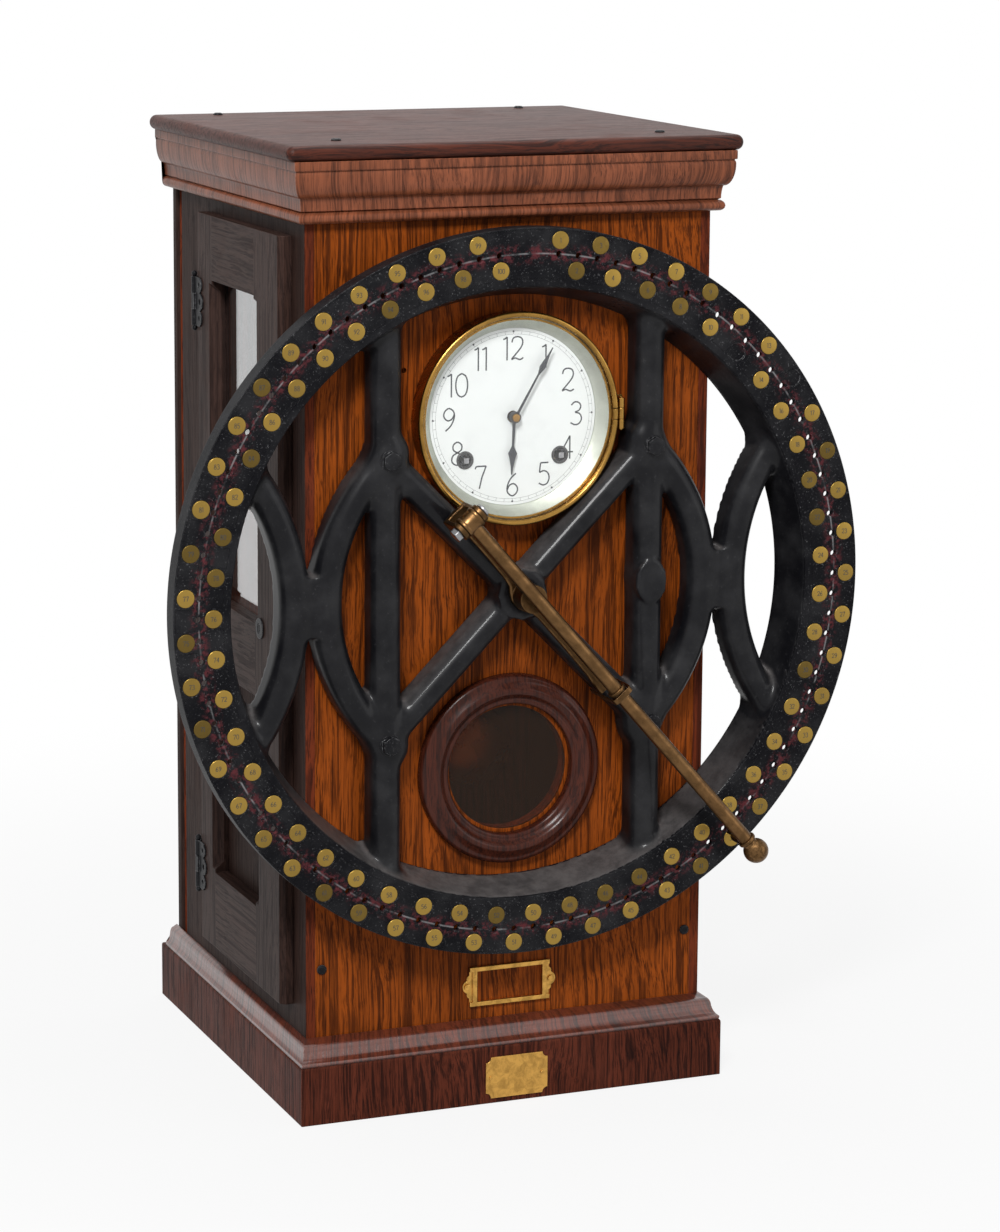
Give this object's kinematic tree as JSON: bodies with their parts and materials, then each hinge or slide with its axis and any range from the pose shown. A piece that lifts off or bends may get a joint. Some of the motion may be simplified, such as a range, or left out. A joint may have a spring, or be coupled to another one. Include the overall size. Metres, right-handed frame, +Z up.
{
  "type": "time clock",
  "caption": "Floor-standing wooden time clock: a large iron ring of numbered holes on the case front, a sweeping lever with a punch pin, a round dial above and a round pendulum window below.",
  "frame": {"origin": "on the floor, under the middle of the plinth", "axes": "+X to the object's right as seen from the front, +Y to the back, +Z up; the dial and ring face -Y"},
  "size_m": [0.6599, 0.5036, 0.883],
  "materials": {
    "front_wood": "glossy varnish over oak",
    "dark_wood": "glossy dark varnish",
    "side_wood": "aged greyish varnish",
    "black_iron": "black paint, worn at the edges",
    "disc_brass": "stamped and tarnished",
    "brass": "aged brass",
    "worn_brass": "brown patina",
    "steel": "turned steel",
    "silver": "silvered",
    "dial_white": "satin enamel",
    "hand_black": "blued black",
    "clear_glass": "clear"
  },
  "bodies": {
    "case": {"plinth": "dark_wood", "base_moulding": "dark_wood", "bottom_board": "side_wood", "side_frame_left": "side_wood", "side_board_right": "side_wood", "front_board": "front_wood", "back_board": "side_wood", "crown_moulding": "dark_wood", "top_board": "dark_wood", "top_screws": "black_iron", "front_screws": "black_iron", "door_hinge_case_leaves": "black_iron", "door_hinge_pins": "black_iron", "number_ring": "black_iron", "ring_wall": "black_iron", "ring_spider": "black_iron", "number_discs": "disc_brass", "ring_bolts": "black_iron", "shaft_bush": "brass", "rear_bearing": "black_iron", "dial_bezel": "brass", "bezel_hinge_leaf": "brass", "bezel_hinge_pin": "brass", "dial_plate": "dial_white", "movement_plates": "brass", "movement_pillars": "brass", "movement_shelf": "side_wood", "pendulum_cock": "brass", "window_bezel": "dark_wood", "window_glass": "clear_glass", "label_holder": "brass", "label_screws": "brass", "name_plate": "brass", "name_plate_pins": "brass"},
    "side_door": {"side_door_frame": "side_wood", "side_door_glass": "clear_glass", "side_door_panel": "side_wood", "door_hinge_door_leaves": "black_iron", "door_lock_ring": "steel"},
    "lock": {"door_lock_plug": "steel"},
    "pointer": {"pointer_shaft": "steel", "pointer_bracket": "worn_brass", "lever_hinge_pin": "steel", "sheet_drum": "steel"},
    "lever": {"lever_tube": "worn_brass", "lever_collar": "worn_brass", "lever_knob": "worn_brass", "punch_pin": "worn_brass"},
    "rod": {"push_rod": "steel"},
    "sash": {"sash_ring": "brass", "dial_glass": "clear_glass", "dial_reflector": "silver"},
    "minute": {"minute_hand": "hand_black", "center_arbor": "brass"},
    "hour": {"hour_hand": "hand_black"},
    "winder_left": {"winding_arbor_left": "steel", "spring_barrel_left": "brass"},
    "winder_right": {"winding_arbor_right": "steel", "spring_barrel_right": "brass"},
    "pendulum": {"pendulum": "brass"}
  },
  "joints": [
    {"name": "pointer_spin", "type": "hinge", "parent": "case", "child": "pointer", "pos_m": [0, -0.228, 0.476], "axis": [0, 1, 0], "continuous": true},
    {"name": "lever_press", "type": "hinge", "parent": "pointer", "child": "lever", "pos_m": [-0.06441, -0.252, 0.55118], "axis": [0.7594, 0, 0.6506], "range_deg": [0, 2.4], "stiffness_Nm_per_rad": 6, "springref_deg": -8.59},
    {"name": "rod_slide", "type": "slide", "parent": "pointer", "child": "rod", "axis": [0, 1, 0], "range_m": [0, 0.0042]},
    {"name": "minute_hand_turn", "type": "hinge", "parent": "case", "child": "minute", "pos_m": [0, -0.186, 0.633], "axis": [0, 1, 0], "continuous": true},
    {"name": "hour_hand_turn", "type": "hinge", "parent": "case", "child": "hour", "pos_m": [0, -0.186, 0.633], "axis": [0, 1, 0], "continuous": true},
    {"name": "sash_open", "type": "hinge", "parent": "case", "child": "sash", "pos_m": [0.0999, -0.206, 0.633], "axis": [0, 0, 1], "range_deg": [0, 100]},
    {"name": "side_door_open", "type": "hinge", "parent": "case", "child": "side_door", "pos_m": [-0.2083, 0.0876, 0.441], "axis": [0, 0, -1], "range_deg": [0, 110]},
    {"name": "lock_turn", "type": "hinge", "parent": "side_door", "child": "lock", "pos_m": [-0.2, -0.099, 0.436], "axis": [-1, 0, 0], "range_deg": [0, 90]},
    {"name": "wind_left", "type": "hinge", "parent": "case", "child": "winder_left", "pos_m": [-0.046, -0.186, 0.596], "axis": [0, 1, 0], "continuous": true},
    {"name": "wind_right", "type": "hinge", "parent": "case", "child": "winder_right", "pos_m": [0.046, -0.186, 0.596], "axis": [0, 1, 0], "continuous": true},
    {"name": "pendulum_swing", "type": "hinge", "parent": "case", "child": "pendulum", "pos_m": [0, -0.1, 0.687], "axis": [0, 1, 0], "range_deg": [-3, 3]}
  ],
  "couplings": [
    {"joint": "rod_slide", "follows": "lever_press", "m_per_rad": 0.099},
    {"joint": "hour_hand_turn", "follows": "minute_hand_turn", "ratio": 0.083333}
  ]
}
